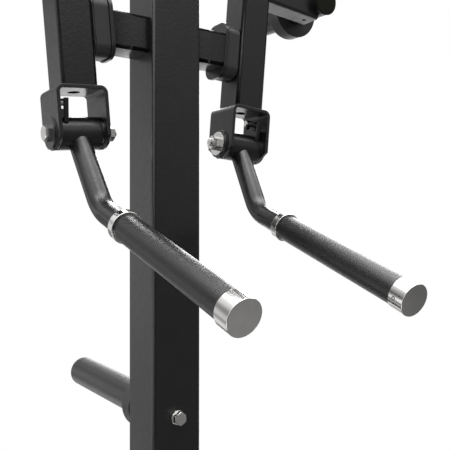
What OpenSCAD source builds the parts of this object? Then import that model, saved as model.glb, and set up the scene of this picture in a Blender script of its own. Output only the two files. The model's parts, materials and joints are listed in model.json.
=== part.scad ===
// Standing lateral raise machine: one upright on a floor frame, two swinging arms
// hung from a head above it, and a forked handle at the foot of each arm.
// Millimetres, +Z up, origin on the floor under the middle of the upright.
// The user stands on the -Y side and faces the upright; +X is the right hand of the user.
// Each arm has its own frame: +X outward, +Y to the back, +Z up the arm, zero on its pivot.

/* [Floor frame] */
// Width of the upright tube and of the floor tubes
tube_w = 76; // [70:1:84]
// Corner radius of the square tubes
tube_r = 5; // [4:0.5:7]
// Wall of every square tube
tube_wall = 3; // [2.5:0.5:4]
// Height of the floor tubes
floor_h = 50; // [40:2:60]
// Height of the rubber feet
pad_h = 12; // [8:1:20]
// Diameter of the rubber feet
pad_d = 60; // [40:2:68]
// Distance from the upright to the middle of each cross foot
foot_reach = 520; // [460:10:620]
// Length of the cross feet
foot_len = 820; // [700:10:1000]
// Thickness of the plastic end caps
end_cap_t = 5; // [3:1:8]
// Height of the gussets at the foot of the upright
gusset_h = 120; // [80:5:160]
// Thickness of the gussets
gusset_t = 8; // [6:1:10]

/* [Upright and head] */
// Height of the arm pivots above the floor
pivot_z = 1410; // [1350:5:1460]
// Distance of each arm pivot from the middle
pivot_x = 168; // [155:1:185]
// Height of the upright above the arm pivots
upright_over = 62; // [50:2:80]
// Thickness of the head plates
head_t = 8; // [6:1:10]
// Reach of the head plates outside the pivots
head_reach = 46; // [42:1:60]
// Depth of the head plates below the pivots
head_low = 76; // [64:1:90]
// Diameter of the arm pivot bolts
pivot_bolt_d = 20; // [16:1:22]
// Diameter of the head bolts
head_bolt_d = 12; // [10:1:14]

/* [Crossbar and stops] */
// Height of the crossbar axis above the handle pins
crossbar_rise = 141.5; // [137:0.5:160]
// Width of the arm and crossbar tubes
arm_w = 50; // [46:1:54]
// Thickness of the rubber stop blocks
block_t = 23; // [20:0.5:28]
// Thickness of the stop plates
stop_plate_t = 5.5; // [4:0.5:8]
// Height of the stop plates along the arm
stop_plate_h = 84; // [80:1:96]
// Width of the stop plates
stop_plate_w = 52; // [50:1:60]
// Height of the middle of the stop plates above the crossbar axis
stop_lift = 2; // [0:0.5:4]
// Corner radius of the stop plates
stop_plate_r = 18; // [12:1:24]
// How far the rubber blocks stand inside the plate outline
block_inset = 2; // [1:0.5:4]
// Gap between a stop block and the arm resting on it
rest_gap = 0.4; // [0.3:0.1:1]

/* [Arms] */
// Lean of the arms from the vertical, degrees
arm_tilt = 4.8; // [4.4:0.1:5.2]
// Distance from the arm pivot to the handle pin
arm_len = 439; // [425:1:450]
// Diameter of the arm hub
hub_d = 60; // [54:1:66]
// Diameter of the hub bush seats
hub_bore = 30; // [28:1:32]
// Distance from the arm pivot down to the outrigger axis
outrigger_drop = 174; // [165:1:185]
// Height of the outrigger tube
outrigger_h = 60; // [54:1:66]
// Depth of the outrigger tube front to back
outrigger_w = 40; // [36:1:46]
// Distance from the arm axis to the loading peg axis
peg_out = 135; // [130:1:145]

/* [Loading and storage pegs] */
// Rise of the loading pegs to the rear, degrees
peg_tilt = 3; // [0:0.5:5]
// Diameter of the plate pegs
peg_d = 50; // [50:0.5:52]
// Diameter of the loading peg spigot in the outrigger
spigot_d = 45; // [40:1:46]
// Length of the spigot in front of the peg axis plane
spigot_front = 31; // [28:1:36]
// Distance from the arm plane to the front face of the loading peg flange
flange_back = 44; // [38:1:50]
// Diameter of the loading peg flanges
flange_d = 88; // [82:1:92]
// Thickness of the loading peg flanges
flange_t = 30; // [20:1:34]
// Usable length of the loading pegs
load_peg_len = 180; // [140:5:200]
// Length of the storage peg behind the upright
storage_len = 268; // [240:2:300]
// Diameter of the storage peg flange
storage_flange_d = 76; // [72:1:84]
// Thickness of the storage peg flange
storage_flange_t = 28; // [20:1:34]
// Height of the storage peg above the floor
storage_z = 584; // [500:2:640]
// Diameter of the storage peg bolt
storage_bolt_d = 10; // [8:1:12]

/* [Handle forks] */
// Outer width of the forks
fork_w = 70; // [68:1:76]
// Depth of the forks front to back
fork_d = 62.5; // [58:0.5:68]
// Plate thickness of the forks
fork_t = 5; // [4:0.5:6]
// Height of the fork web above the pin
fork_h = 59; // [57:0.5:64]
// Depth of the fork legs below the pin
fork_below = 22; // [21:0.5:24]
// Outer bend radius of the forks
fork_r = 10; // [8:0.5:12]
// Diameter of the fork bosses
boss_d = 42; // [38:1:42]
// Thickness of the fork bosses
boss_t = 3; // [2:0.5:4]
// Diameter of the fork bolts
fork_bolt_d = 12; // [10:1:14]
// Diameter of the large washers under the fork nuts
fork_washer_d = 36; // [30:1:38]

/* [Handles] */
// Diameter of the handle pivot sleeve
sleeve_d = 44; // [42:0.5:46]
// Diameter of the handle tube
handle_d = 30; // [28:0.5:31]
// Wall of the handle tube
handle_wall = 2.5; // [2:0.5:3]
// Distance from the pin to the corner of the handle bend
handle_drop = 119.5; // [110:0.5:130]
// Distance from the corner of the bend to the end face of the grip
handle_run = 305.5; // [290:0.5:320]
// Lean of the upper part of the handle, degrees
handle_a1 = 31.8; // [28:0.2:36]
// Lean of the grip, degrees from the arm axis
handle_a2 = 70.4; // [66:0.2:74]
// Centre line radius of the handle bend
handle_bend = 55; // [48:1:60]
// Distance from the bend corner to the back of the collar
collar_at = 60; // [50:1:66]
// Length of the collar
collar_len = 11; // [8:1:14]
// Diameter of the collar
collar_d = 40; // [38:0.5:42]
// Diameter of the rubber grip
grip_d = 35; // [34:0.5:37]
// Length of the end cap of the grip
cap_len = 21; // [18:1:24]
// Diameter of the end cap of the grip
cap_d = 39; // [37.2:0.2:40]

/* [Handle stop] */
// Distance from the handle pin to the stop pin
slot_r = 40.5; // [40:0.5:42]
// Diameter of the stop pin
stop_pin_d = 10; // [8:0.5:10]
// Swing of the handle, degrees
handle_swing = 22; // [18:1:26]
// Thickness of the stop tab
tab_t = 6; // [5:0.5:7]
// Distance from the fork middle to the inner face of the stop tab
tab_at = 17.5; // [16:0.5:18.5]
// Height of the stop tab above the handle pin
tab_high = 42.5; // [41:0.5:44]
// Forward lean of the front edge of the stop tab, degrees
tab_lean = 10.5; // [8:0.5:12]
// Thickness of the two horns beside the notch of the stop tab
horn_t = 4.2; // [3.6:0.2:5]
// Clearance under the stop pin at the bottom of the notch
notch_gap = 3; // [1:0.5:4]

/* [Fits] */
// Running clearance on the radius of bolts in their bushes
run_gap = 0.04; // [0.02:0.01:0.08]
// Side clearance between swinging and fixed faces
side_gap = 0.4; // [0.3:0.1:0.6]
// Clearance between the stop pin and each horn at the ends of the swing
slot_gap = 0.5; // [0.4:0.1:0.8]

/* [Hidden] */
$fn = 64;
eps = 0.01;
big = 600;
floor_top = pad_h + floor_h;
upright_top = pivot_z + upright_over;
half_w = tube_w / 2;
half_arm = arm_w / 2;
head_in = half_w;
head_out = half_w + head_t;
hub_half = head_in - side_gap - 2.6;
hub_flange_t = 2.6;
pin_w = -arm_len;
crossbar_z = pivot_z - arm_len * cos(arm_tilt) + crossbar_rise;
fork_half = fork_w / 2;
fork_in = fork_half - fork_t;
bush_flange_t = 1.2;
sleeve_half = fork_in - side_gap - bush_flange_t;
bush_od = fork_bolt_d + 8;
boss_out = fork_half + boss_t;
block_out = -half_arm - rest_gap;
block_in = block_out - block_t;
plate_in = block_in - stop_plate_t;
stop_w = stop_lift + plate_in * tan(arm_tilt) - (pivot_z - crossbar_z) / cos(arm_tilt);
peg_end = flange_back + flange_t + load_peg_len;
grip_from = collar_at + collar_len;
cap_from = handle_run - cap_len;
slot_half = stop_pin_d / 2 + slot_gap;
peg_seat_r = peg_d / 2 - 1;
metal = [0.13, 0.13, 0.14];
bright = [0.75, 0.75, 0.76];
rubber = [0.07, 0.07, 0.07];

// Frames

module right_arm() {
    translate([pivot_x, 0, pivot_z]) rotate([0, arm_tilt, 0]) children();
}

module left_arm() {
    mirror([1, 0, 0]) right_arm() children();
}

// Both arm frames, for fixed pieces that repeat on each side
module both_sides() {
    right_arm() children();
    left_arm() children();
}

// The handle pin of an arm: +Z turned along the pin, outward
module at_pin() {
    translate([0, 0, pin_w]) children();
}

module along_x() {
    rotate([0, 90, 0]) children();
}

module along_y() {
    rotate([-90, 0, 0]) children();
}

// Shared outlines

module round_rect(a, b, r) {
    square([a - 2 * r, b], center = true);
    square([a, b - 2 * r], center = true);
    for (i = [-1, 1], j = [-1, 1])
        translate([i * (a / 2 - r), j * (b / 2 - r)]) circle(r);
}

module tube_section(a, b, r, wall) {
    difference() {
        round_rect(a, b, r);
        round_rect(a - 2 * wall, b - 2 * wall, max(r - wall, 1));
    }
}

// Hexagon head: across flats f, height h, with the turned chamfer on its top
module hex_head(f, h) {
    intersection() {
        cylinder(h = h, d = f / cos(30), $fn = 6);
        rotate_extrude() polygon([[0, 0], [f / 2 / cos(30), 0], [f / 2 / cos(30), h - f * 0.045],
            [f * 0.475, h], [0, h]]);
    }
}

// Nut with a chamfer on both faces and a bore
module hex_nut(f, h, bore) {
    c = f * 0.045;
    difference() {
        intersection() {
            cylinder(h = h, d = f / cos(30), $fn = 6);
            rotate_extrude() polygon([[0, 0], [f * 0.475, 0], [f / 2 / cos(30), c],
                [f / 2 / cos(30), h - c], [f * 0.475, h], [0, h]]);
        }
        translate([0, 0, -1]) cylinder(h = h + 2, d = bore);
    }
}

// Bolt along +Z: the head seats at zero, the shank runs to -len with a lead chamfer
module hex_bolt(d, f, head_h, len) {
    hex_head(f, head_h);
    translate([0, 0, -len]) rotate_extrude()
        polygon([[0, 0], [d / 2 - 1, 0], [d / 2, 1], [d / 2, len + eps], [0, len + eps]]);
}

module washer(d, bore, t) {
    difference() {
        cylinder(h = t, d = d);
        translate([0, 0, -1]) cylinder(h = t + 2, d = bore);
    }
}

// Floor frame

module floor_tube(len) {
    linear_extrude(len) tube_section(tube_w, floor_h, tube_r, tube_wall);
}

module base_beam() {
    color(metal) translate([0, -foot_reach + half_w, pad_h + floor_h / 2]) along_y()
        floor_tube(2 * foot_reach - tube_w);
}

module cross_feet() {
    color(metal) for (y = [-foot_reach, foot_reach])
        translate([-foot_len / 2, y, pad_h + floor_h / 2]) along_x() rotate([0, 0, 90])
            floor_tube(foot_len);
}

module foot_end_caps() {
    inner_w = tube_w - 2 * tube_wall;
    inner_h = floor_h - 2 * tube_wall;
    color(rubber) for (y = [-foot_reach, foot_reach], s = [0, 1]) mirror([s, 0, 0])
        translate([foot_len / 2, y, pad_h + floor_h / 2]) along_x() rotate([0, 0, 90]) {
            linear_extrude(end_cap_t) round_rect(tube_w, floor_h, tube_r);
            translate([0, 0, -14]) linear_extrude(14) difference() {
                round_rect(inner_w, inner_h, max(tube_r - tube_wall, 1));
                square([inner_w - 8, inner_h - 8], center = true);
            }
        }
}

module rubber_feet() {
    color(rubber) for (y = [-foot_reach, foot_reach], s = [-1, 1])
        translate([s * (foot_len / 2 - half_w), y, 0]) rotate_extrude()
            polygon([[0, 0], [pad_d / 2 - 2, 0], [pad_d / 2, 2], [pad_d / 2 - 3, pad_h], [0, pad_h]]);
}

module gussets() {
    color(metal) for (s = [0, 1]) mirror([0, s, 0])
        translate([-gusset_t / 2, 0, 0]) rotate([90, 0, 90]) linear_extrude(gusset_t)
            polygon([[half_w, floor_top], [half_w + gusset_h, floor_top],
                [half_w + gusset_h, floor_top + 12], [half_w + 12, floor_top + gusset_h],
                [half_w, floor_top + gusset_h]]);
}

// Upright and head

head_bolt_x = tube_w * 0.29;
head_bolt_rows = [-head_low / 2, head_low * 0.4];

module head_holes() {
    for (z = head_bolt_rows, x = [-head_bolt_x, head_bolt_x])
        translate([x, -big / 2, pivot_z + z]) along_y() cylinder(h = big, d = head_bolt_d);
}

module upright() {
    color(metal) difference() {
        translate([0, 0, floor_top]) linear_extrude(upright_top - floor_top)
            tube_section(tube_w, tube_w, tube_r, tube_wall);
        head_holes();
        translate([0, -big / 2, storage_z]) along_y() cylinder(h = big, d = storage_bolt_d);
    }
}

module upright_cap() {
    inner = tube_w - 2 * tube_wall;
    color(rubber) translate([0, 0, upright_top]) {
        linear_extrude(end_cap_t) round_rect(tube_w, tube_w, tube_r);
        translate([0, 0, -12]) linear_extrude(12) difference() {
            round_rect(inner, inner, max(tube_r - tube_wall, 1));
            square([inner - 8, inner - 8], center = true);
        }
    }
}

module head_outline() {
    e = pivot_x + head_reach;
    m = half_w + hub_d * 0.7;
    a = hub_d * 0.43;
    b = hub_d * 0.8;
    polygon([[-e, -a], [-e + a, -b], [-m, -head_low], [m, -head_low], [e - a, -b], [e, -a],
        [e, a], [e - a, b], [-e + a, b], [-e, a]]);
}

module head_plates() {
    color(metal) for (s = [0, 1]) mirror([0, s, 0]) difference() {
        translate([0, head_out, pivot_z]) rotate([90, 0, 0]) linear_extrude(head_t) head_outline();
        head_holes();
        for (x = [-pivot_x, pivot_x])
            translate([x, -big / 2, pivot_z]) along_y() cylinder(h = big, d = pivot_bolt_d);
    }
}

module head_bolts() {
    color(bright) for (z = head_bolt_rows, x = [-head_bolt_x, head_bolt_x])
        translate([x, -head_out, pivot_z + z]) rotate([90, 0, 0]) hex_bolt(head_bolt_d,
            head_bolt_d * 1.5, head_bolt_d * 0.63, 2 * head_out + head_bolt_d * 1.35);
}

module head_nuts() {
    color(bright) for (z = head_bolt_rows, x = [-head_bolt_x, head_bolt_x])
        translate([x, head_out, pivot_z + z]) along_y()
            hex_nut(head_bolt_d * 1.5, head_bolt_d * 0.85, head_bolt_d);
}

module pivot_bolts() {
    color(bright) for (x = [-pivot_x, pivot_x])
        translate([x, -head_out, pivot_z]) rotate([90, 0, 0]) hex_bolt(pivot_bolt_d,
            pivot_bolt_d * 1.5, pivot_bolt_d * 0.63, 2 * head_out + pivot_bolt_d * 1.1);
}

module pivot_nuts() {
    color(bright) for (x = [-pivot_x, pivot_x])
        translate([x, head_out, pivot_z]) along_y()
            hex_nut(pivot_bolt_d * 1.5, pivot_bolt_d * 0.8, pivot_bolt_d);
}

// Crossbar and arm stops

// Half space of an arm frame on the upright side of its stop plate
module inside_plate() {
    right_arm() translate([plate_in - big, -big / 2, -2 * big]) cube([big, big, 3 * big]);
}

module crossbar_half() {
    color(metal) intersection() {
        translate([half_w, 0, crossbar_z]) along_x() linear_extrude(pivot_x)
            tube_section(arm_w, arm_w, tube_r, tube_wall);
        inside_plate();
    }
}

module crossbar_right() {
    crossbar_half();
}

module crossbar_left() {
    mirror([1, 0, 0]) crossbar_half();
}

module stop_plates() {
    color(metal) both_sides() translate([plate_in, 0, stop_w]) along_x()
        linear_extrude(stop_plate_t) round_rect(stop_plate_h, stop_plate_w, stop_plate_r);
}

module stop_blocks() {
    a = stop_plate_h - 2 * block_inset;
    b = stop_plate_w - 2 * block_inset;
    r = stop_plate_r - block_inset;
    color(rubber) both_sides() translate([block_in, 0, stop_w]) along_x() {
        linear_extrude(block_t - 2) round_rect(a, b, r);
        translate([0, 0, block_t - 2]) linear_extrude(2) round_rect(a - 4, b - 4, r - 2);
    }
}

// Plate pegs

// Rubber flange with a round far edge, pushed on the turned seat of its peg
module peg_flange_body(d, t) {
    wall = d / 2 - peg_seat_r;
    r = min(8, wall / 2);
    rotate_extrude() {
        translate([peg_seat_r, 0]) square([wall, t - r]);
        translate([peg_seat_r, 0]) square([wall - r, t]);
        translate([d / 2 - r, t - r]) circle(r);
    }
}

module storage_peg() {
    len = storage_len;
    r = peg_d / 2;
    color(metal) translate([0, half_w, storage_z]) along_y() rotate_extrude()
        polygon([[r - 4, 0], [peg_seat_r, 0], [peg_seat_r, storage_flange_t],
            [r, storage_flange_t], [r, len - 3], [r - 0.9, len - 0.9], [r - 3, len], [0, len],
            [0, len - 6], [r - 4, len - 6]]);
}

module storage_peg_insert() {
    color(metal) translate([0, half_w, storage_z]) along_y() difference() {
        cylinder(h = 24, r = peg_d / 2 - 4);
        translate([0, 0, -1]) cylinder(h = 26, d = storage_bolt_d);
    }
}

module storage_peg_flange() {
    color(rubber) translate([0, half_w, storage_z]) along_y()
        peg_flange_body(storage_flange_d, storage_flange_t);
}

module storage_peg_bolt() {
    color(bright) translate([0, -half_w - 2, storage_z]) rotate([90, 0, 0]) rotate([0, 0, 30])
        hex_bolt(storage_bolt_d, storage_bolt_d * 1.7, storage_bolt_d * 0.8,
            tube_w + storage_bolt_d * 2.2);
}

module storage_peg_washer() {
    color(bright) translate([0, -half_w, storage_z]) rotate([90, 0, 0])
        washer(storage_bolt_d * 2, storage_bolt_d, 2);
}

// Axis of the loading peg: +Z runs to the rear and rises by the tilt
module peg_place() {
    translate([peg_out, 0, -outrigger_drop]) rotate([peg_tilt, 0, 0]) along_y() children();
}

module load_peg() {
    r = peg_d / 2;
    s = spigot_d / 2;
    seat_end = flange_back + flange_t;
    color(metal) peg_place() rotate_extrude()
        polygon([[s - 3, -spigot_front], [s, -spigot_front], [s, flange_back],
            [peg_seat_r, flange_back], [peg_seat_r, seat_end], [r, seat_end], [r, peg_end - 3],
            [r - 0.9, peg_end - 0.9], [r - 3, peg_end], [0, peg_end], [0, peg_end - 6],
            [s - 3, peg_end - 6]]);
}

module load_peg_flange() {
    color(rubber) peg_place() translate([0, 0, flange_back]) peg_flange_body(flange_d, flange_t);
}

module load_peg_plug() {
    s = spigot_d / 2;
    color(rubber) peg_place() translate([0, 0, -spigot_front]) rotate_extrude()
        polygon([[0, -2.5], [s - 1.5, -2.5], [s, -1], [s, 0], [s - 3, 0], [s - 3, 14],
            [s - 5, 14], [s - 5, 2], [0, 2]]);
}

module load_peg_left() {
    left_arm() load_peg();
}

module load_peg_right() {
    right_arm() load_peg();
}

module load_peg_flange_left() {
    left_arm() load_peg_flange();
}

module load_peg_flange_right() {
    right_arm() load_peg_flange();
}

module load_peg_plug_left() {
    left_arm() load_peg_plug();
}

module load_peg_plug_right() {
    right_arm() load_peg_plug();
}

// Arms, in the arm frame

module arm() {
    foot = pin_w + fork_h;
    color(metal) difference() {
        translate([0, 0, foot]) linear_extrude(-foot) tube_section(arm_w, arm_w, tube_r, tube_wall);
        translate([0, -big / 2, 0]) along_y() cylinder(h = big, d = hub_d);
    }
}

module arm_hub() {
    color(metal) translate([0, -hub_half, 0]) along_y() difference() {
        cylinder(h = 2 * hub_half, d = hub_d);
        translate([0, 0, -1]) cylinder(h = 2 * hub_half + 2, d = hub_bore);
    }
}

module hub_bushes() {
    bore = pivot_bolt_d / 2 + run_gap;
    seat = hub_half * 0.6;
    color(bright) for (s = [0, 1]) mirror([0, s, 0]) translate([0, hub_half, 0]) along_y()
        rotate_extrude() polygon([[bore, -seat], [hub_bore / 2, -seat], [hub_bore / 2, 0],
            [hub_bore / 2 + 7, 0], [hub_bore / 2 + 7, hub_flange_t], [bore, hub_flange_t]]);
}

// Side tube that carries the loading peg, cut out round the peg spigot
module outrigger() {
    len = peg_out - half_arm - 4;
    color(metal) difference() {
        translate([half_arm, 0, -outrigger_drop]) along_x() linear_extrude(len)
            tube_section(outrigger_h, outrigger_w, tube_r, tube_wall);
        peg_place() translate([0, 0, -big / 2]) cylinder(h = big, d = spigot_d);
        translate([half_arm + len - 14, 0, -outrigger_drop - outrigger_h / 2 - 1])
            cylinder(h = tube_wall + 2, d = 7);
    }
}

// Bent plate fork: bend profile crossed with the chamfered outline of its legs
module fork() {
    top = fork_h;
    slope_y = fork_d / 2 - 5;
    slope_w = fork_below - 6;
    color(metal) at_pin() difference() {
        union() {
            intersection() {
                translate([0, fork_d / 2, 0]) rotate([90, 0, 0]) linear_extrude(fork_d)
                    difference() {
                        fork_bend(fork_half, top, fork_r);
                        fork_bend(fork_in, top - fork_t, fork_r - fork_t);
                    }
                translate([-fork_half - 1, 0, 0]) rotate([90, 0, 90]) linear_extrude(fork_w + 2)
                    polygon([[-fork_d / 2, top + 1], [fork_d / 2, top + 1],
                        [fork_d / 2, -fork_below + slope_w],
                        [fork_d / 2 - slope_y, -fork_below],
                        [-fork_d / 2 + slope_y, -fork_below],
                        [-fork_d / 2, -fork_below + slope_w]]);
            }
            for (s = [0, 1]) mirror([s, 0, 0]) translate([fork_half, 0, 0]) along_x()
                cylinder(h = boss_t, d = boss_d);
        }
        translate([-fork_w, 0, 0]) along_x() cylinder(h = 2 * fork_w, d = fork_bolt_d);
        cylinder(h = top + 2, d = 16);
        translate([fork_in - 1, 0, 0]) stop_pin_axis() cylinder(h = fork_t - 1, d = stop_pin_d);
    }
}

// Upside down U: straight legs and two rounded top corners
module fork_bend(half, top, r) {
    translate([-half, -fork_below - 1]) square([2 * half, top - r + fork_below + 1]);
    translate([-half + r, top - 2 * r]) square([2 * (half - r), 2 * r]);
    for (s = [-1, 1]) translate([s * (half - r), top - r]) circle(r);
}

module fork_bolt() {
    color(bright) at_pin() translate([boss_out, 0, 0]) along_x()
        hex_bolt(fork_bolt_d, fork_bolt_d * 1.55, fork_bolt_d * 0.64, 2 * boss_out + fork_bolt_d * 1.4);
}

module fork_washer() {
    color(bright) at_pin() translate([-boss_out, 0, 0]) rotate([0, -90, 0])
        washer(fork_washer_d, fork_bolt_d, 2.5);
}

module fork_nut() {
    color(bright) at_pin() translate([-boss_out - 2.5, 0, 0]) rotate([0, -90, 0])
        hex_nut(fork_bolt_d * 1.55, fork_bolt_d * 0.9, fork_bolt_d);
}

// Places its children on the stop pin, +Z turned outward along the pin
module stop_pin_axis() {
    translate([0, 0, slot_r]) along_x() children();
}

module stop_pin() {
    r = stop_pin_d / 2;
    tip = tab_at - 7;
    color(bright) at_pin() translate([tip, 0, 0]) stop_pin_axis() rotate_extrude()
        polygon([[0, 0], [r - 0.8, 0], [r, 0.8], [r, fork_in + fork_t - 2 - tip],
            [0, fork_in + fork_t - 2 - tip]]);
}

module arm_left() {
    left_arm() arm();
}

module arm_right() {
    right_arm() arm();
}

module arm_hub_left() {
    left_arm() arm_hub();
}

module arm_hub_right() {
    right_arm() arm_hub();
}

module hub_bushes_left() {
    left_arm() hub_bushes();
}

module hub_bushes_right() {
    right_arm() hub_bushes();
}

module outrigger_left() {
    left_arm() outrigger();
}

module outrigger_right() {
    right_arm() outrigger();
}

module fork_left() {
    left_arm() fork();
}

module fork_right() {
    right_arm() fork();
}

module fork_bolt_left() {
    left_arm() fork_bolt();
}

module fork_bolt_right() {
    right_arm() fork_bolt();
}

module fork_nut_left() {
    left_arm() fork_nut();
}

module fork_nut_right() {
    right_arm() fork_nut();
}

module fork_washer_left() {
    left_arm() fork_washer();
}

module fork_washer_right() {
    right_arm() fork_washer();
}

module stop_pin_left() {
    left_arm() stop_pin();
}

module stop_pin_right() {
    right_arm() stop_pin();
}

// Handles, in the arm frame

// Upper leg of the handle: +Z runs from the pin down and forward
module upper_leg() {
    at_pin() rotate([180 - handle_a1, 0, 0]) children();
}

// Grip leg: +Z runs from the corner of the bend towards the end cap
module grip_leg() {
    upper_leg() translate([0, 0, handle_drop]) rotate([handle_a1 - handle_a2, 0, 0]) children();
}

module handle_sleeve() {
    color(metal) at_pin() translate([-sleeve_half, 0, 0]) along_x() difference() {
        cylinder(h = 2 * sleeve_half, d = sleeve_d);
        translate([0, 0, -1]) cylinder(h = 2 * sleeve_half + 2, d = bush_od);
    }
}

module sleeve_bushes() {
    bore = fork_bolt_d / 2 + run_gap;
    seat = sleeve_half * 0.6;
    color(bright) at_pin() for (s = [0, 1]) mirror([s, 0, 0]) translate([sleeve_half, 0, 0])
        along_x() rotate_extrude() polygon([[bore, -seat], [bush_od / 2, -seat], [bush_od / 2, 0],
            [sleeve_d / 2 - 1, 0], [sleeve_d / 2 - 1, bush_flange_t], [bore, bush_flange_t]]);
}

// Point at angle a and radius r about the handle pin, a counted from the stop pin to the front
function polar(r, a) = [-r * sin(a), r * cos(a)];

// Point of the leaning frame of the front edge of the tab
function lean(x, y) = [x * cos(tab_lean) - y * sin(tab_lean), x * sin(tab_lean) + y * cos(tab_lean)];

// Part of the tab plane behind a leaning front edge and in front of an upright rear edge
module between(front, rear, top) {
    intersection() {
        polygon([lean(front, 0), lean(front + 80, 0), lean(front + 80, 80), lean(front, 80)]);
        translate([-60, 0]) square([60 + rear, top]);
    }
}

// Notched tab on the sleeve: its two horns close on the stop pin and limit the swing
module stop_tab() {
    inner = polar(slot_r, handle_swing) * [cos(tab_lean), sin(tab_lean)] - slot_half;
    color(metal) at_pin() translate([tab_at, 0, 0]) rotate([90, 0, 90]) linear_extrude(tab_t)
        difference() {
            between(inner - horn_t, slot_half + horn_t, tab_high);
            translate([-60, 0]) square([120, 12]);
            circle(d = sleeve_d);
            difference() {
                between(inner, slot_half, 80);
                circle(slot_r - slot_half - notch_gap);
            }
        }
}

module ring(d, wall) {
    difference() {
        circle(d = d);
        circle(d = d - 2 * wall);
    }
}

// Ring inside the tube wall that joins a straight leg and the bend
module weld_ring() {
    linear_extrude(2) ring(handle_d - handle_wall / 2, handle_wall / 2);
}

// Bent round tube: straight leg, swept bend and grip leg, coped on the sleeve
module handle_tube() {
    bend = handle_a2 - handle_a1;
    cut = handle_bend * tan(bend / 2);
    color(metal) difference() {
        union() {
            upper_leg() linear_extrude(handle_drop - cut) ring(handle_d, handle_wall);
            upper_leg() translate([0, handle_bend, handle_drop - cut]) rotate([0, 0, 180])
                rotate([90, 0, 90]) rotate_extrude(angle = bend)
                    translate([handle_bend, 0]) ring(handle_d, handle_wall);
            grip_leg() translate([0, 0, cut]) linear_extrude(cap_from - cut)
                ring(handle_d, handle_wall);
            upper_leg() translate([0, 0, handle_drop - cut - 1]) weld_ring();
            grip_leg() translate([0, 0, cut - 1]) weld_ring();
        }
        at_pin() translate([-fork_w, 0, 0]) along_x() cylinder(h = 2 * fork_w, d = sleeve_d);
    }
}

module grip_collar() {
    r = collar_d / 2;
    b = handle_d / 2;
    color(bright) grip_leg() translate([0, 0, collar_at]) rotate_extrude()
        polygon([[b, 0], [r - 1, 0], [r, 1], [r, collar_len - 1], [r - 1, collar_len],
            [b, collar_len]]);
}

module grip() {
    r = grip_d / 2;
    b = handle_d / 2;
    color(rubber) grip_leg() rotate_extrude()
        polygon([[b, grip_from], [r, grip_from], [r, cap_from], [b, cap_from]]);
}

module grip_cap() {
    r = cap_d / 2;
    b = handle_d / 2 - handle_wall;
    color(bright) grip_leg() rotate_extrude()
        polygon([[0, cap_from - 16], [b - 1, cap_from - 16], [b, cap_from - 15], [b, cap_from],
            [r - 0.5, cap_from], [r, cap_from + 0.5], [r, handle_run - 1.2],
            [r - 0.4, handle_run - 0.4], [r - 1.2, handle_run], [0, handle_run]]);
}

module handle_sleeve_left() {
    left_arm() handle_sleeve();
}

module handle_sleeve_right() {
    right_arm() handle_sleeve();
}

module sleeve_bushes_left() {
    left_arm() sleeve_bushes();
}

module sleeve_bushes_right() {
    right_arm() sleeve_bushes();
}

module stop_tab_left() {
    left_arm() stop_tab();
}

module stop_tab_right() {
    right_arm() stop_tab();
}

module handle_tube_left() {
    left_arm() handle_tube();
}

module handle_tube_right() {
    right_arm() handle_tube();
}

module grip_collar_left() {
    left_arm() grip_collar();
}

module grip_collar_right() {
    right_arm() grip_collar();
}

module grip_left() {
    left_arm() grip();
}

module grip_right() {
    right_arm() grip();
}

module grip_cap_left() {
    left_arm() grip_cap();
}

module grip_cap_right() {
    right_arm() grip_cap();
}

base_beam();
cross_feet();
foot_end_caps();
rubber_feet();
gussets();
upright();
upright_cap();
head_plates();
head_bolts();
head_nuts();
pivot_bolts();
pivot_nuts();
crossbar_left();
crossbar_right();
stop_plates();
stop_blocks();
storage_peg();
storage_peg_insert();
storage_peg_flange();
storage_peg_bolt();
storage_peg_washer();
arm_left();
arm_right();
arm_hub_left();
arm_hub_right();
hub_bushes_left();
hub_bushes_right();
outrigger_left();
outrigger_right();
load_peg_left();
load_peg_right();
load_peg_flange_left();
load_peg_flange_right();
load_peg_plug_left();
load_peg_plug_right();
fork_left();
fork_right();
fork_bolt_left();
fork_bolt_right();
fork_nut_left();
fork_nut_right();
fork_washer_left();
fork_washer_right();
stop_pin_left();
stop_pin_right();
handle_sleeve_left();
handle_sleeve_right();
sleeve_bushes_left();
sleeve_bushes_right();
stop_tab_left();
stop_tab_right();
handle_tube_left();
handle_tube_right();
grip_collar_left();
grip_collar_right();
grip_left();
grip_right();
grip_cap_left();
grip_cap_right();
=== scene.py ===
"""Standing lateral raise machine: looks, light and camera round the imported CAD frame.

Metres, +Z up, origin on the floor under the upright, the user on the -Y side.
Sizes that repeat part.scad are written in millimetres and turned to metres with MM.
"""
import json
import math
from collections import namedtuple

import bmesh
import bpy
from mathutils import Matrix, Vector

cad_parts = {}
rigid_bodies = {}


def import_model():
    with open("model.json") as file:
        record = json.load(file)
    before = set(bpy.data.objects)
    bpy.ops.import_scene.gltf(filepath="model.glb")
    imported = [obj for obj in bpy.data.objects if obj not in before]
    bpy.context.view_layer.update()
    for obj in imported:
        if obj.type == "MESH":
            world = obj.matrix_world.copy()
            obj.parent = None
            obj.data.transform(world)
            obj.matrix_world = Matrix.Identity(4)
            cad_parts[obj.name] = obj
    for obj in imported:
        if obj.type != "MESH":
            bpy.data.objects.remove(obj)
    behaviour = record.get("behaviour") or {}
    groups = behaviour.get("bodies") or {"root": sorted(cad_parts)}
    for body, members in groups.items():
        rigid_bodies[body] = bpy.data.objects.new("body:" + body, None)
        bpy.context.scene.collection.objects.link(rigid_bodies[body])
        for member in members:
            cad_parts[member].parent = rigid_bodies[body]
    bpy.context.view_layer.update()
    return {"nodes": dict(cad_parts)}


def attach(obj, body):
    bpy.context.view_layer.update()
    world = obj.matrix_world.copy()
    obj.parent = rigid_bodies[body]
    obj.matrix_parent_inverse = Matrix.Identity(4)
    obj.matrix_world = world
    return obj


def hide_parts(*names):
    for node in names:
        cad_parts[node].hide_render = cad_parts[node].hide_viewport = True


for left_over in list(bpy.data.objects):
    bpy.data.objects.remove(left_over)

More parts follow.
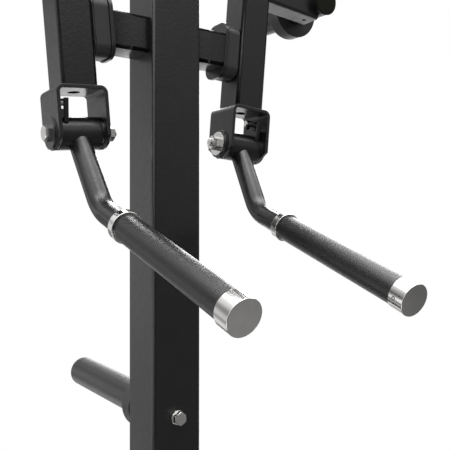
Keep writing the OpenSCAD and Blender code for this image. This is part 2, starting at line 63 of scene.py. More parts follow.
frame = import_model()
NODES = frame["nodes"]

SIDES = (("left", -1), ("right", 1))

# Sizes shared with part.scad, in millimetres and degrees
MM = 0.001
PIVOT_X, PIVOT_Z = 168.0, 1410.0
ARM_TILT, ARM_LEN, ARM_HALF = 4.8, 439.0, 25.0
HANDLE_DROP, HANDLE_RUN = 119.5, 305.5
HANDLE_A1, HANDLE_A2 = 31.8, 70.4
COLLAR_AT, COLLAR_LEN, COLLAR_D = 60.0, 11.0, 40.0
HANDLE_D, HANDLE_WALL, GRIP_D = 30.0, 2.5, 35.0
CAP_LEN, CAP_D, SPIGOT_LEN = 21.0, 39.0, 16.0
FORK_HALF, BOSS_T = 35.0, 3.0
HALF_W, HEAD_OUT = 38.0, 46.0
FOOT_REACH, FLOOR_TOP, PAD_H = 520.0, 62.0, 12.0
GUSSET_H, GUSSET_T = 120.0, 8.0
HEAD_BOLT_X, HEAD_ROWS = 22.04, (-38.0, 30.4)

# Bolts: radius, how far they reach past the plate and past their nut, thread pitch
Bolt = namedtuple("Bolt", "radius reach past_nut pitch")
HEAD_BOLT = Bolt(6.0, 16.2, 6.0, 1.75)
PIVOT_BOLT = Bolt(10.0, 22.0, 6.0, 2.5)
FORK_BOLT = Bolt(6.0, 16.8, 3.5, 1.75)

# Rolled threads: vertices round, rings in a turn, and depth as a share of the pitch
THREAD_STEPS, RINGS_A_TURN, THREAD_DEPTH = 40, 10, 0.55
# Inside the nut: depth at which the plain shank is cut, and at which the thread begins
SHANK_CUT, THREAD_START = 2.0, 3.0
# Bolt ends: thinner than the core by this, slope of the chamfer, and the centre dimple's
# radius and depth as shares of the bolt's radius
END_THIN, END_SLOPE, DIMPLE_R, DIMPLE_DEPTH = 0.2, 1.1, 0.32, 0.22

# Welds: radius, length of a ripple, its depth as a share, spacing and corners of the rings
WELD_R, RIPPLE, RIPPLE_DEPTH, WELD_SPACING, WELD_STEPS = 2.2, 2.2, 0.14, 0.55, 10
# Slow waves in a weld's width: share of it, radians per millimetre, and phase
WELD_WAVES = ((0.07, 0.83, 0.0), (0.05, 0.31, 1.0))
# Open welds start at this share of their width and are full after so many rings
WELD_TIP, WELD_TIP_RINGS = 0.45, 6
# Least upward part of the direction of a stretch of weld that counts as upright
STEEP = 0.9
GUSSET_WELD_R, GUSSET_WELD_STOP = 2.0, 3.0
# Corners that welds cut off on the upright and on the base beam, and how far above the
# beam's underside its welds start
UPRIGHT_CORNER, BEAM_CORNER, BEAM_LIFT = 2.0, 4.0, 2.0
# Weld round an arm where it is coped on its hub: across the arm, and height from the pivot
HUB_COPE = ((-25.0, -16.6), (-12.0, -27.5), (0.0, -30.0), (12.0, -27.5), (25.0, -16.6))

# Vertices round the turned pieces of the grip, and the lead-in of the cap's spigot along
# its radius and along its axis
COLLAR_STEPS, GRIP_STEPS = 96, 128
LEAD_R, LEAD_LEN = 0.9, 1.0
# Set screw in the side of the cap: turn round the cap and distance from its end
SCREW_TURN, SCREW_BACK = 190.0, 13.0
SCREW_R, SCREW_LEN, SCREW_PROUD, SCREW_EDGE, SCREW_STEPS = 1.85, 3.0, 0.1, 0.25, 32
# Socket of the set screw, with a disc of painted shade set a small gap inside it, and a ring of
# painted shade round the screw for the gap in the cap
SOCKET_R, SOCKET_DEPTH, SOCKET_GAP = 0.95, 0.5, 0.05
RIM_R, RIM_DEPTH = 2.35, 1.0

# Vertices of a CAD node merge within this distance in metres, and its faces where they
# turn by less than this angle in radians
MERGE, FLAT = 1e-6, 0.003
# Rounded edges: width in millimetres by node, and the least angle of an edge in degrees.
# The tubes have their round corners from the CAD.
EDGE_ANGLE, HARDWARE_ANGLE = 32.0, 50.0
HARDWARE_EDGE, BOLT_EDGE, BLOCK_EDGE, PLASTIC_EDGE = 0.35, 0.25, 0.9, 1.6
COLLAR_EDGE, GRIP_EDGE, CAP_EDGE = 0.8, 0.9, 0.7
FRAME_EDGES = (("upright", 0.0), ("base_beam", 0.6), ("cross_feet", 0.6), ("gussets", 1.0),
               ("head_plates", 1.0), ("crossbar_left", 0.0), ("crossbar_right", 0.0),
               ("stop_plates", 0.7))
ARM_EDGES = (("arm", 0.0), ("arm_hub", 0.8), ("outrigger", 0.5), ("fork", 0.6))
HANDLE_EDGES = (("handle_sleeve", 0.6), ("stop_tab", 0.5))

# Camera fitted to the photograph
CAMERA_AT = (-0.4394, -0.7926, 0.850)
CAMERA_YAW = 34.55
CAMERA_SENSOR, CAMERA_LENS = 36.0, 50.08
CAMERA_SHIFT_Y = 0.0027
CAMERA_NEAR = 0.02

# Floor, in metres: how pale it is, how far it goes, and where its shadow fades to white
FLOOR_TONE, FLOOR_RADIUS = 0.38, 30.0
SHADOW_FADES, SHADOW_GONE = 0.7, 1.4

# Soft lights of the studio: direction, angle from its middle to where the full light ends
# and to where all of it ends, and strength. Those that point below the horizon stand for
# light that comes back from the floor.
AMBIENT = 0.064
SOFTBOXES = (
    ((0.25, 0.07, 0.97), 4.0, 20.0, 3.39),      # softboxes overhead
    ((-0.48, 0.13, 0.87), 4.0, 20.0, 2.95),
    ((-0.07, -0.25, 0.97), 4.0, 20.0, 2.09),
    ((0.26, 0.00, 0.97), 20.0, 50.0, 1.42),
    ((-0.18, -0.18, 0.97), 20.0, 50.0, 1.03),
    ((0.00, 0.26, 0.97), 10.0, 32.0, 0.73),
    ((-0.26, 0.00, 0.97), 35.0, 75.0, 0.12),
    ((0.68, 0.68, 0.26), 4.0, 20.0, 4.00),      # strips on the right
    ((0.61, 0.61, 0.50), 4.0, 20.0, 3.00),
    ((0.71, 0.00, 0.71), 4.0, 20.0, 2.00),
    ((0.71, 0.71, 0.00), 10.0, 32.0, 0.16),
    ((0.39, 0.72, 0.58), 4.0, 10.0, 6.00),      # backdrop, and its light on the floor
    ((0.47, 0.77, 0.42), 4.0, 10.0, 5.00),
    ((0.28, 0.68, 0.68), 4.0, 10.0, 4.80),
    ((0.18, 0.68, 0.71), 4.0, 20.0, 2.60),
    ((0.75, 0.43, -0.50), 4.0, 20.0, 2.38),
    ((0.50, 0.87, 0.00), 4.0, 20.0, 0.87),
    ((0.52, 0.80, -0.29), 6.0, 24.0, 0.75),
    ((-0.35, 0.61, 0.71), 10.0, 32.0, 0.54),
    ((-0.50, 0.87, 0.00), 4.0, 20.0, 0.40),
    ((-0.22, 0.84, -0.50), 4.0, 20.0, 0.33),
    ((0.00, 0.87, -0.50), 4.0, 20.0, 0.28),
    ((0.00, 0.97, 0.26), 35.0, 75.0, 0.13),
    ((-0.47, 0.86, 0.18), 6.0, 30.0, 0.09),
    ((0.15, 0.15, -0.98), 20.0, 50.0, 0.08),
    ((-0.84, 0.48, -0.26), 4.0, 20.0, 1.09),    # wall on the left, and the floor before it
    ((-0.93, -0.25, 0.26), 20.0, 50.0, 0.89),
    ((-0.76, 0.57, -0.31), 4.0, 17.0, 0.65),
    ((-0.25, -0.43, -0.87), 4.0, 20.0, 2.81),   # camera side: the floor there, and a fill
    ((0.22, -0.84, 0.50), 4.0, 20.0, 0.71),
    ((0.68, -0.68, 0.26), 4.0, 20.0, 0.16),
    ((0.50, -0.50, -0.71), 4.0, 20.0, 0.12),
    ((0.46, -0.89, 0.00), 10.0, 40.0, 0.12),
    ((0.48, -0.84, 0.26), 4.0, 20.0, 0.05),
    ((0.80, -0.42, -0.42), 6.0, 24.0, 0.05))


# ---------------------------------------------------------------- materials

# Noise scales, per metre: tone clouds of coats and of metals. The patches of uneven gloss
# are coarser than the relief, by these shares of its scale.
COAT_CLOUDS, METAL_CLOUDS = 24.0, 60.0
COAT_PATCHES, METAL_PATCHES = 0.35, 0.4
NOISE_LOW, NOISE_HIGH = 0.35, 0.65


def new_material(name):
    """A node material with its Principled shader and an Object coordinate node."""
    material = bpy.data.materials.new(name)
    material.use_nodes = True
    tree = material.node_tree
    shader = tree.nodes["Principled BSDF"]
    coords = tree.nodes.new("ShaderNodeTexCoord")
    return material, tree, shader, coords.outputs["Object"]


def noise(tree, vector, scale, detail=2.0, roughness=0.5):
    """A noise value, mostly between NOISE_LOW and NOISE_HIGH."""
    node = tree.nodes.new("ShaderNodeTexNoise")
    node.inputs["Scale"].default_value = scale
    node.inputs["Detail"].default_value = detail
    node.inputs["Roughness"].default_value = roughness
    tree.links.new(vector, node.inputs["Vector"])
    return node.outputs["Fac"]


def spread(tree, value, low, high):
    """Maps a noise value to the range from low to high."""
    node = tree.nodes.new("ShaderNodeMapRange")
    node.inputs["From Min"].default_value = NOISE_LOW
    node.inputs["From Max"].default_value = NOISE_HIGH
    node.inputs["To Min"].default_value = low
    node.inputs["To Max"].default_value = high
    tree.links.new(value, node.inputs["Value"])
    return node.outputs["Result"]


def tint(tree, value, dark, light):
    """Colour between dark and light, by a value from 0 to 1."""
    node = tree.nodes.new("ShaderNodeMix")
    node.data_type = "RGBA"
    node.inputs[6].default_value = (*dark, 1.0)
    node.inputs[7].default_value = (*light, 1.0)
    tree.links.new(value, node.inputs[0])
    return node.outputs[2]


def bump(tree, height, distance, below=None):
    """Relief of a height in metres, on top of the relief below."""
    node = tree.nodes.new("ShaderNodeBump")
    node.inputs["Strength"].default_value = 1.0
    node.inputs["Distance"].default_value = distance
    tree.links.new(height, node.inputs["Height"])
    if below is not None:
        tree.links.new(below, node.inputs["Normal"])
    return node.outputs["Normal"]


def coated(name, dark, light, rough, peel, depth, grain=None, specular=0.75, gloss=(0.0, 0.1)):
    """Paint, rubber or plastic: colour clouds, uneven gloss and a fine relief.

    peel and depth are the scale and height of the relief, grain those of a finer one, and
    gloss is the weight and roughness of a clear coat.
    """
    material, tree, shader, at = new_material(name)
    shader.inputs["Specular IOR Level"].default_value = specular
    shader.inputs["Coat Weight"].default_value = gloss[0]
    shader.inputs["Coat Roughness"].default_value = gloss[1]
    clouds = spread(tree, noise(tree, at, COAT_CLOUDS, detail=3.0), 0.0, 1.0)
    tree.links.new(tint(tree, clouds, dark, light), shader.inputs["Base Color"])
    uneven = noise(tree, at, peel * COAT_PATCHES, detail=3.0)
    tree.links.new(spread(tree, uneven, *rough), shader.inputs["Roughness"])
    relief = bump(tree, noise(tree, at, peel), depth)
    if grain:
        fine = noise(tree, at, grain[0], detail=3.0, roughness=0.6)
        relief = bump(tree, fine, grain[1], relief)
    tree.links.new(relief, shader.inputs["Normal"])
    tree.links.new(relief, shader.inputs["Coat Normal"])
    return material


def metal(name, dark, light, rough, scratch, depth, rings=0.0):
    """Bright metal: faint tone clouds, fine grinding marks, and lathe rings where asked."""
    material, tree, shader, at = new_material(name)
    shader.inputs["Metallic"].default_value = 1.0
    clouds = spread(tree, noise(tree, at, METAL_CLOUDS, detail=3.0), 0.0, 1.0)
    tree.links.new(tint(tree, clouds, dark, light), shader.inputs["Base Color"])
    worn = noise(tree, at, scratch * METAL_PATCHES, detail=4.0, roughness=0.6)
    tree.links.new(spread(tree, worn, *rough), shader.inputs["Roughness"])
    relief = bump(tree, noise(tree, at, scratch), depth)
    if rings:
        wave = tree.nodes.new("ShaderNodeTexWave")
        wave.wave_type = "RINGS"
        wave.rings_direction = "Z"
        wave.inputs["Scale"].default_value = rings
        wave.inputs["Distortion"].default_value = 0.6
        tree.links.new(at, wave.inputs["Vector"])
        relief = bump(tree, wave.outputs["Fac"], depth * 0.5, relief)
    tree.links.new(relief, shader.inputs["Normal"])
    return material


# One black paint, with a finer skin on the round tubes than on the rest
PAINT = ((0.0060, 0.0060, 0.0062), (0.0080, 0.0080, 0.0083), (0.32, 0.40))
PAINT_PEEL, PAINT_SPECULAR, PAINT_GLOSS = 300.0, 0.65, (0.35, 0.10)
POWDER = coated("powder_coat", *PAINT, PAINT_PEEL, 0.00026, grain=(900.0, 0.00006),
                specular=PAINT_SPECULAR, gloss=PAINT_GLOSS)
TUBE_COAT = coated("powder_coat_fine", *PAINT, PAINT_PEEL, 0.00013, grain=(900.0, 0.00004),
                   specular=PAINT_SPECULAR, gloss=PAINT_GLOSS)
GRIP = coated("grip_rubber", (0.0050, 0.0050, 0.0052), (0.0075, 0.0075, 0.0078),
              (0.28, 0.36), 650.0, 0.00022, grain=(1300.0, 0.00013),
              specular=0.6, gloss=(0.12, 0.14))
STOP_RUBBER = coated("stop_rubber", (0.021, 0.021, 0.0215), (0.030, 0.030, 0.0305),
                     (0.48, 0.60), 700.0, 0.00005, gloss=(0.15, 0.18))
FLANGE_RUBBER = coated("flange_rubber", (0.018, 0.018, 0.0185), (0.027, 0.027, 0.0275),
                       (0.50, 0.62), 800.0, 0.00005, gloss=(0.15, 0.18))
PAD_RUBBER = coated("pad_rubber", (0.012, 0.012, 0.012), (0.018, 0.018, 0.018),
                    (0.60, 0.75), 500.0, 0.00010)
CAP_PLASTIC = coated("cap_plastic", (0.012, 0.012, 0.0122), (0.017, 0.017, 0.0172),
                     (0.40, 0.52), 1400.0, 0.00004)
PLUG_PLASTIC = coated("plug_plastic", (0.0120, 0.0120, 0.0085), (0.0150, 0.0150, 0.0110),
                      (0.60, 0.70), 1400.0, 0.00003, specular=0.15)
ZINC = metal("zinc_plate", (0.84, 0.83, 0.81), (0.92, 0.91, 0.89), (0.17, 0.25),
             1500.0, 0.000008)
POLISHED = metal("polished_steel", (0.86, 0.85, 0.83), (0.93, 0.92, 0.90), (0.10, 0.17),
                 1800.0, 0.000002, rings=900.0)
BUSH_STEEL = metal("bush_steel", (0.56, 0.55, 0.52), (0.66, 0.65, 0.62), (0.20, 0.30),
                   1500.0, 0.00001)
BRONZE = metal("bush_bronze", (0.38, 0.27, 0.13), (0.48, 0.35, 0.17), (0.30, 0.42),
               1500.0, 0.00002)
# Near-black paint that is painted shade: a disc in each set screw's socket and a ring round
# each screw
PAINTED_HOLE_SHADE = coated("hole_shade_paint", (0.004, 0.004, 0.004), (0.006, 0.006, 0.006),
                   (0.50, 0.60), 900.0, 0.00003)

# CAD nodes that keep their own shape and only get a better material
FRAME_AS_BUILT = (("rubber_feet", PAD_RUBBER), ("storage_peg_flange", FLANGE_RUBBER),
                  ("storage_peg", TUBE_COAT), ("storage_peg_insert", POWDER))
SIDE_AS_BUILT = (("hub_bushes", BRONZE), ("load_peg", TUBE_COAT),
                 ("load_peg_flange", FLANGE_RUBBER), ("load_peg_plug", PLUG_PLASTIC),
                 ("stop_pin", ZINC), ("sleeve_bushes", BUSH_STEEL))


# ---------------------------------------------------------------- placing

def arm_frame(side):
    """Frame of the right (1) or left (-1) arm: +X outward, +Y back, +Z up the arm."""
    right = (Matrix.Translation(Vector((PIVOT_X, 0, PIVOT_Z)) * MM)
             @ Matrix.Rotation(math.radians(ARM_TILT), 4, "Y"))
    return right if side > 0 else Matrix.Scale(-1, 4, (1, 0, 0)) @ right


def leg_frame(side, angle, start):
    """Frame of a handle leg that leans by angle: +Z runs down the leg from start."""
    lean = Matrix.Rotation(math.pi - math.radians(angle), 4, "X")
    return arm_frame(side) @ Matrix.Translation(start) @ lean


def grip_frame(side):
    """Frame of the grip: origin at the corner of the bend, +Z towards the end cap."""
    pin = Vector((0, 0, -ARM_LEN)) * MM
    corner = leg_frame(1, HANDLE_A1, pin) @ Vector((0, 0, HANDLE_DROP * MM))
    start = arm_frame(1).inverted() @ corner
    return leg_frame(side, HANDLE_A2, start)


def axis_matrix(origin, axis):
    """Rotation and place that turn local +Z to axis at origin, never mirrored."""
    turn = Vector((0, 0, 1)).rotation_difference(Vector(axis).normalized())
    return Matrix.Translation(origin) @ turn.to_matrix().to_4x4()


# ---------------------------------------------------------------- pieces

def add_object(name, bm, body, material, replaced=(), matrix=None):
    """Turns a bmesh into a named piece of the scene that rides on a body."""
    mesh = bpy.data.meshes.new(name)
    bm.normal_update()
    bm.to_mesh(mesh)
    bm.free()
    mesh.materials.append(material)
    mesh.shade_smooth()
    piece = bpy.data.objects.new(name, mesh)
    bpy.context.scene.collection.objects.link(piece)
    if matrix is not None:
        piece.matrix_world = matrix
    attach(piece, body)
    if replaced:
        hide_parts(*replaced)
    return piece


def soften(piece, width, segments, angle=EDGE_ANGLE):
    """Real rounded edges, with normals weighted so that flat faces stay flat."""
    if width:
        edge = piece.modifiers.new("edge", "BEVEL")
        edge.limit_method = "ANGLE"
        edge.angle_limit = math.radians(angle)
        edge.width = width * MM
        edge.segments = segments
        edge.use_clamp_overlap = True
    piece.modifiers.new("normals", "WEIGHTED_NORMAL").keep_sharp = True
    return piece


def clean_copy(node):
    """The mesh of a CAD node, welded together and without its flat triangulation."""
    bm = bmesh.new()
    bm.from_mesh(NODES[node].data)
    bmesh.ops.remove_doubles(bm, verts=bm.verts, dist=MERGE)
    bmesh.ops.dissolve_limit(bm, angle_limit=FLAT, verts=bm.verts, edges=bm.edges)
    return bm


def dressed(node, body, material, width, segments=2, angle=EDGE_ANGLE):
    """A copy of a CAD node with rounded edges, shown in its place."""
    piece = add_object(node + "_skin", clean_copy(node), body, material, [node])
    return soften(piece, width, segments, angle)


def painted(nodes, body):
    """Painted copies of CAD nodes, given as pairs of a name and the width of its edges."""
    for node, width in nodes:
        dressed(node, body, POWDER, width)


def hardware(node, body):
    """A plated nut, washer or bolt, with fine edges at its sharp corners only."""
    return dressed(node, body, ZINC, HARDWARE_EDGE, 2, HARDWARE_ANGLE)


def as_built(node, material):
    """Shows a CAD node in its own shape, with a better material."""
    for slot in NODES[node].material_slots:
        slot.material = material


def around(radius, i, steps, height):
    """Point i of a ring round local Z in metres, from millimetres."""
    turn = 2 * math.pi * i / steps
    return Vector((radius * MM * math.cos(turn), radius * MM * math.sin(turn), height * MM))


def bridge(bm, low, high):
    """Faces between two rings of vertices, of which either may be a single point."""
    steps = max(len(low), len(high))
    for i in range(steps):
        j = (i + 1) % steps
        corners = [low[i % len(low)], low[j % len(low)],
                   high[j % len(high)], high[i % len(high)]]
        unique = list(dict.fromkeys(corners))
        if len(unique) > 2:
            bm.faces.new(unique)


def lathe(name, profile, matrix, body, material, replaced, width, steps):
    """A turned piece: profile of (radius, height) in millimetres round local Z.

    A profile that starts on the axis also ends there; any other is closed to itself.
    """
    bm = bmesh.new()
    rings = [[bm.verts.new(around(radius, i, steps, height))
              for i in range(steps if radius else 1)] for radius, height in profile]
    if len(rings[0]) > 1:
        rings.append(rings[0])
    for low, high in zip(rings, rings[1:]):
        bridge(bm, low, high)
    bmesh.ops.recalc_face_normals(bm, faces=bm.faces)
    return soften(add_object(name, bm, body, material, replaced, matrix), width, 3)


# ---------------------------------------------------------------- bolts

def thread_rings(bm, matrix, radius, length, pitch):
    """A rolled thread along local -Z, with a chamfered end and a centre dimple at 0."""
    count = max(2, round(length / pitch * RINGS_A_TURN))
    depth = pitch * THREAD_DEPTH
    rings = []
    for k in range(count + 1):
        z = length * k / count - length
        ring = []
        for i in range(THREAD_STEPS):
            phase = (z / pitch - i / THREAD_STEPS) % 1.0
            cut = depth * (1 - abs(2 * phase - 1))
            r = min(radius - cut, radius - depth - END_THIN - z * END_SLOPE)
            ring.append(bm.verts.new(matrix @ around(r, i, THREAD_STEPS, z)))
        rings.append(ring)
    rings.append([bm.verts.new(matrix @ around(radius * DIMPLE_R, i, THREAD_STEPS, 0.0))
                  for i in range(THREAD_STEPS)])
    rings.append([bm.verts.new(matrix @ around(0.0, 0, 1, -radius * DIMPLE_DEPTH))])
    for low, high in zip(rings, rings[1:]):
        bridge(bm, low, high)


def threaded_bolts(node, body, axis, tips, bolt):
    """A bolt node with a real thread: the plain shank is cut off inside the nut.

    tips are the end points of the shanks in millimetres, axis points out of the end, and
    bolt has its sizes.
    """
    bm = clean_copy(node)
    out = Vector(axis).normalized()
    cut_at = Vector(tips[0]) * MM - out * (bolt.past_nut + SHANK_CUT) * MM
    everything = bm.verts[:] + bm.edges[:] + bm.faces[:]
    bmesh.ops.bisect_plane(bm, geom=everything, plane_co=cut_at, plane_no=out, clear_outer=True)
    for tip in tips:
        base = axis_matrix(Vector(tip) * MM, out)
        thread_rings(bm, base, bolt.radius, bolt.past_nut + THREAD_START, bolt.pitch)
    bmesh.ops.recalc_face_normals(bm, faces=bm.faces)
    piece = add_object(node + "_skin", bm, body, ZINC, [node])
    return soften(piece, BOLT_EDGE, 2, HARDWARE_ANGLE)


# ---------------------------------------------------------------- welds

def weld_bead(name, points, body, radius=WELD_R, closed=False):
    """A painted weld: overlapping ripples along a line of points in millimetres."""
    path = [Vector(p) * MM for p in points]
    if closed:
        path.append(path[0])
    fine = []
    for a, b in zip(path, path[1:]):
        count = max(1, round((b - a).length / (WELD_SPACING * MM)))
        fine += [(a.lerp(b, i / count), (b - a).normalized()) for i in range(count)]
    if not closed:
        fine.append((path[-1], (path[-1] - path[-2]).normalized()))
    bm = bmesh.new()
    rings, run = [], 0.0
    turns = [2 * math.pi * i / WELD_STEPS for i in range(WELD_STEPS)]
    for index, (at, along) in enumerate(fine):
        if index:
            run += (at - fine[index - 1][0]).length / MM
        swell = abs(math.sin(math.pi * run / RIPPLE))
        wander = sum((share * math.sin(run * waves + start)
                      for share, waves, start in WELD_WAVES), 1.0)
        r = radius * MM * wander * (1 - RIPPLE_DEPTH + RIPPLE_DEPTH * swell)
        if not closed:
            from_end = min(index, len(fine) - 1 - index)
            r *= min(1.0, WELD_TIP + from_end / WELD_TIP_RINGS)
        steep = abs(along.z) >= STEEP
        side = along.orthogonal() if steep else along.cross(Vector((0, 0, 1)))
        side.normalize()
        up = side.cross(along)
        rings.append([bm.verts.new(at + r * (math.cos(turn) * side + math.sin(turn) * up))
                      for turn in turns])
    if closed:
        rings.append(rings[0])
    for low, high in zip(rings, rings[1:]):
        bridge(bm, low, high)
    if not closed:
        bm.faces.new(rings[0])
        bm.faces.new(rings[-1])
    bmesh.ops.recalc_face_normals(bm, faces=bm.faces)
    return add_object(name, bm, body, POWDER)


# ---------------------------------------------------------------- the frame

def frame_pieces():
    """Nodes of the standing frame, with the bolts of its head."""
    painted(FRAME_EDGES, "frame")
    dressed("stop_blocks", "frame", STOP_RUBBER, BLOCK_EDGE, 3)
    for node in ("foot_end_caps", "upright_cap"):
        dressed(node, "frame", CAP_PLASTIC, PLASTIC_EDGE, 3)
    for node in ("storage_peg_washer", "storage_peg_bolt", "pivot_nuts", "head_nuts"):
        hardware(node, "frame")
    for node, material in FRAME_AS_BUILT:
        as_built(node, material)
    backward = (0, 1, 0)
    rear = HEAD_OUT + HEAD_BOLT.reach
    head_tips = [(x, rear, PIVOT_Z + z) for x in (-HEAD_BOLT_X, HEAD_BOLT_X) for z in HEAD_ROWS]
    threaded_bolts("head_bolts", "frame", backward, head_tips, HEAD_BOLT)
    pivot_tips = [(x, HEAD_OUT + PIVOT_BOLT.reach, PIVOT_Z) for x in (-PIVOT_X, PIVOT_X)]
    threaded_bolts("pivot_bolts", "frame", backward, pivot_tips, PIVOT_BOLT)


def frame_welds():
    """Welds of the base beam on its feet, and of the gussets and upright on the beam."""
    low, shoulder = PAD_H + BEAM_LIFT, FLOOR_TOP - BEAM_CORNER
    inset = HALF_W - BEAM_CORNER
    for end_name, end in (("front", -1), ("rear", 1)):
        near = end * (FOOT_REACH - HALF_W)
        across = ((-HALF_W, low), (-HALF_W, shoulder), (-inset, FLOOR_TOP),
                  (inset, FLOOR_TOP), (HALF_W, shoulder), (HALF_W, low))
        weld_bead(f"weld_foot_{end_name}", [(x, near, z) for x, z in across], "frame")
        root, tip = end * HALF_W, GUSSET_H - GUSSET_WELD_STOP
        for side_name, side in SIDES:
            x = side * GUSSET_T / 2
            weld_bead(f"weld_gusset_{end_name}_{side_name}",
                      [(x, end * (HALF_W + tip), FLOOR_TOP), (x, root, FLOOR_TOP),
                       (x, root, FLOOR_TOP + tip)], "frame", GUSSET_WELD_R)
    edge, corner = HALF_W, HALF_W - UPRIGHT_CORNER
    square = ((-corner, -edge), (corner, -edge), (edge, -corner), (edge, corner),
              (corner, edge), (-corner, edge), (-edge, corner), (-edge, -corner))
    weld_bead("weld_upright", [(x, y, FLOOR_TOP) for x, y in square], "frame", closed=True)


# ---------------------------------------------------------------- arms and handles

def side_pieces(side_name, body_of):
    """Nodes of an arm and of its handle that keep their shape; body_of names their body."""
    arm, handle = body_of["arm"], body_of["handle"]
    painted([(f"{part}_{side_name}", width) for part, width in ARM_EDGES], arm)
    painted([(f"{part}_{side_name}", width) for part, width in HANDLE_EDGES], handle)
    dressed(f"handle_tube_{side_name}", handle, TUBE_COAT, 0.0)
    for part in ("fork_nut", "fork_washer"):
        hardware(f"{part}_{side_name}", arm)
    for part, material in SIDE_AS_BUILT:
        as_built(f"{part}_{side_name}", material)


def fork_bolt(side_name, side, body):
    """The fork's bolt, with its thread inside and beyond the nut."""
    inward = arm_frame(side).to_3x3() @ Vector((-1, 0, 0))
    end = Vector((-FORK_HALF - BOSS_T - FORK_BOLT.reach, 0, -ARM_LEN))
    tip = arm_frame(side) @ (end * MM) / MM
    threaded_bolts(f"fork_bolt_{side_name}", body, inward, [tip], FORK_BOLT)


def hub_weld(side_name, side, body):
    """The weld round the arm where it is coped on its hub."""
    path = ([(x, -ARM_HALF, z) for x, z in HUB_COPE]
            + [(x, ARM_HALF, z) for x, z in reversed(HUB_COPE)])
    weld_bead(f"weld_hub_{side_name}", [arm_frame(side) @ (Vector(p) * MM) / MM for p in path],
              body, closed=True)


def grip_pieces(side_name, grip_at, body):
    """Collar, rubber sleeve and end cap, turned round the axis of the grip."""
    axis = (grip_at.to_3x3() @ Vector((0, 0, 1))).normalized()
    turned = axis_matrix(grip_at.translation, axis)
    tube, bore = HANDLE_D / 2, HANDLE_D / 2 - HANDLE_WALL
    collar, grip, cap = COLLAR_D / 2, GRIP_D / 2, CAP_D / 2
    grip_from, cap_from = COLLAR_AT + COLLAR_LEN, HANDLE_RUN - CAP_LEN
    inner_end = cap_from - SPIGOT_LEN
    lathe(f"collar_{side_name}_ring",
          [(tube, COLLAR_AT), (collar, COLLAR_AT), (collar, grip_from), (tube, grip_from)],
          turned, body, POLISHED, [f"grip_collar_{side_name}"],
          COLLAR_EDGE, COLLAR_STEPS)
    lathe(f"grip_{side_name}_rubber",
          [(tube, grip_from), (grip, grip_from), (grip, cap_from), (tube, cap_from)],
          turned, body, GRIP, [f"grip_{side_name}"], GRIP_EDGE, GRIP_STEPS)
    lathe(f"cap_{side_name}_end",
          [(0, inner_end), (bore - LEAD_R, inner_end), (bore, inner_end + LEAD_LEN),
           (bore, cap_from), (cap, cap_from), (cap, HANDLE_RUN), (0, HANDLE_RUN)],
          turned, body, POLISHED, [f"grip_cap_{side_name}"], CAP_EDGE,
          GRIP_STEPS)


def set_screw(side_name, grip_at, body):
    """A set screw in the side of the end cap, with a near-black disc in its socket and a
    near-black ring round it: painted shade for the shadow inside the socket and in the gap
    round the screw.
    """
    across = math.radians(SCREW_TURN)
    outward = Vector((math.cos(across), math.sin(across), 0))
    middle = outward * (CAP_D / 2) + Vector((0, 0, HANDLE_RUN - SCREW_BACK))
    screw = axis_matrix(grip_at @ (middle * MM), grip_at.to_3x3() @ outward)
    # A disc of painted shade inside the socket, and a ring of painted shade round the screw for
    # the gap between it and the cap
    shade_r, shade_high, shade_low = (SOCKET_R - SOCKET_GAP, 2 * SOCKET_GAP - SOCKET_DEPTH,
                                   SOCKET_GAP - SOCKET_DEPTH)
    head = [(0, -SOCKET_DEPTH), (SOCKET_R, -SOCKET_DEPTH), (SOCKET_R, SCREW_PROUD),
            (SCREW_R - SCREW_EDGE, SCREW_PROUD), (SCREW_R, SCREW_PROUD - SCREW_EDGE),
            (SCREW_R, -SCREW_LEN), (0, -SCREW_LEN)]
    socket = [(0, shade_high), (shade_r, shade_high), (shade_r, shade_low), (0, shade_low)]
    rim = [(SCREW_R, SCREW_PROUD), (RIM_R, SCREW_PROUD), (RIM_R, -RIM_DEPTH),
           (SCREW_R, -RIM_DEPTH)]
    for ending, profile, material in (("", head, BUSH_STEEL), ("_socket_shade", socket, PAINTED_HOLE_SHADE),
                                      ("_rim_shade", rim, PAINTED_HOLE_SHADE)):
        lathe(f"screw_{side_name}{ending}", profile, screw, body, material,
              (), 0.0, SCREW_STEPS)


# ---------------------------------------------------------------- stage

def empty_tree(owner):
    """The cleared node tree of a world or material."""
    owner.use_nodes = True
    owner.node_tree.nodes.clear()
    return owner.node_tree


def by_ray(tree, shown, otherwise):
    """Mixes two shaders: one is shown to the camera, the other meets every other ray."""
    path = tree.nodes.new("ShaderNodeLightPath")
    mix = tree.nodes.new("ShaderNodeMixShader")
    tree.links.new(path.outputs["Is Camera Ray"], mix.inputs["Fac"])
    tree.links.new(otherwise.outputs[0], mix.inputs[1])
    tree.links.new(shown.outputs[0], mix.inputs[2])
    return mix.outputs[0]


def soft_light(tree, vector, towards, inner, outer, strength):
    """A round light: full within inner degrees of its middle, and gone beyond outer."""
    facing = tree.nodes.new("ShaderNodeVectorMath")
    facing.operation = "DOT_PRODUCT"
    facing.inputs[1].default_value = Vector(towards).normalized()
    tree.links.new(vector, facing.inputs[0])
    glow = tree.nodes.new("ShaderNodeMapRange")
    glow.interpolation_type = "SMOOTHSTEP"
    glow.inputs["From Min"].default_value = math.cos(math.radians(outer))
    glow.inputs["From Max"].default_value = math.cos(math.radians(inner))
    glow.inputs["To Max"].default_value = strength
    tree.links.new(facing.outputs["Value"], glow.inputs["Value"])
    return glow.outputs["Result"]


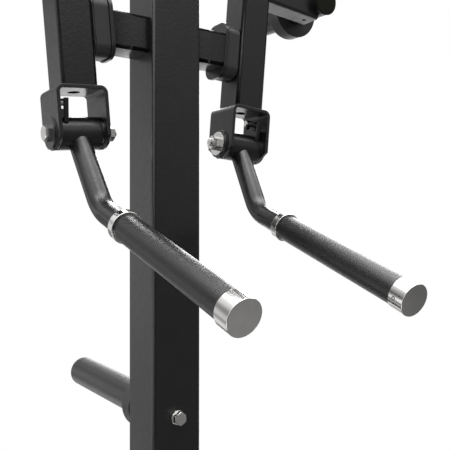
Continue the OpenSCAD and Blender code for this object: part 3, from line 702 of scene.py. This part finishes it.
def build_world():
    """White for the camera, and soft round lights for everything else."""
    world = bpy.data.worlds.new("studio")
    bpy.context.scene.world = world
    tree = empty_tree(world)
    new, link = tree.nodes.new, tree.links.new
    coords = new("ShaderNodeTexCoord")
    total = None
    for softbox in SOFTBOXES:
        together = new("ShaderNodeMath")
        together.operation = "ADD"
        link(soft_light(tree, coords.outputs["Generated"], *softbox), together.inputs[0])
        if total is None:
            together.inputs[1].default_value = AMBIENT
        else:
            link(total, together.inputs[1])
        total = together.outputs[0]
    lit, white = new("ShaderNodeBackground"), new("ShaderNodeBackground")
    link(total, lit.inputs["Strength"])
    for background in (lit, white):
        background.inputs["Color"].default_value = (1.0, 1.0, 1.0, 1.0)
    out = new("ShaderNodeOutputWorld")
    link(by_ray(tree, white, lit), out.inputs["Surface"])


def floor_paint():
    """Pale paint that keeps the shadow near the machine and is plain white further out.

    Reflections look through it to the soft lights that stand for its own light.
    """
    material = bpy.data.materials.new("floor_paint")
    tree = empty_tree(material)
    new, link = tree.nodes.new, tree.links.new
    coords = new("ShaderNodeTexCoord")
    length = new("ShaderNodeVectorMath")
    length.operation = "LENGTH"
    link(coords.outputs["Object"], length.inputs[0])
    far = new("ShaderNodeMapRange")
    far.interpolation_type = "SMOOTHSTEP"
    far.inputs["From Min"].default_value = SHADOW_FADES
    far.inputs["From Max"].default_value = SHADOW_GONE
    link(length.outputs["Value"], far.inputs["Value"])
    paint = new("ShaderNodeBsdfDiffuse")
    paint.inputs["Color"].default_value = (FLOOR_TONE, FLOOR_TONE, FLOOR_TONE, 1.0)
    white = new("ShaderNodeEmission")
    shown = new("ShaderNodeMixShader")
    link(far.outputs["Result"], shown.inputs["Fac"])
    link(paint.outputs[0], shown.inputs[1])
    link(white.outputs[0], shown.inputs[2])
    clear = new("ShaderNodeBsdfTransparent")
    out = new("ShaderNodeOutputMaterial")
    link(by_ray(tree, shown, clear), out.inputs["Surface"])
    return material


def build_floor():
    """A round floor that isn't part of the machine."""
    bm = bmesh.new()
    bmesh.ops.create_circle(bm, cap_ends=True, segments=96, radius=FLOOR_RADIUS)
    mesh = bpy.data.meshes.new("floor")
    bm.to_mesh(mesh)
    bm.free()
    floor = bpy.data.objects.new("floor", mesh)
    bpy.context.scene.collection.objects.link(floor)
    mesh.materials.append(floor_paint())


def build_camera():
    """A level camera, as in the photograph."""
    data = bpy.data.cameras.new("camera")
    data.sensor_width = CAMERA_SENSOR
    data.lens = CAMERA_LENS
    data.shift_y = CAMERA_SHIFT_Y
    data.clip_start = CAMERA_NEAR
    camera = bpy.data.objects.new("camera", data)
    camera.location = CAMERA_AT
    camera.rotation_euler = (math.radians(90), 0, math.radians(-CAMERA_YAW))
    bpy.context.scene.collection.objects.link(camera)
    bpy.context.scene.camera = camera


frame_pieces()
frame_welds()
for name_of_side, sign in SIDES:
    bodies = {kind: f"{kind}_{name_of_side}_body" for kind in ("arm", "handle")}
    side_pieces(name_of_side, bodies)
    fork_bolt(name_of_side, sign, bodies["arm"])
    hub_weld(name_of_side, sign, bodies["arm"])
    grip_pieces(name_of_side, grip_frame(sign), bodies["handle"])
    set_screw(name_of_side, grip_frame(sign), bodies["handle"])
build_world()
build_floor()
build_camera()
bpy.context.scene.view_settings.view_transform = "Standard"
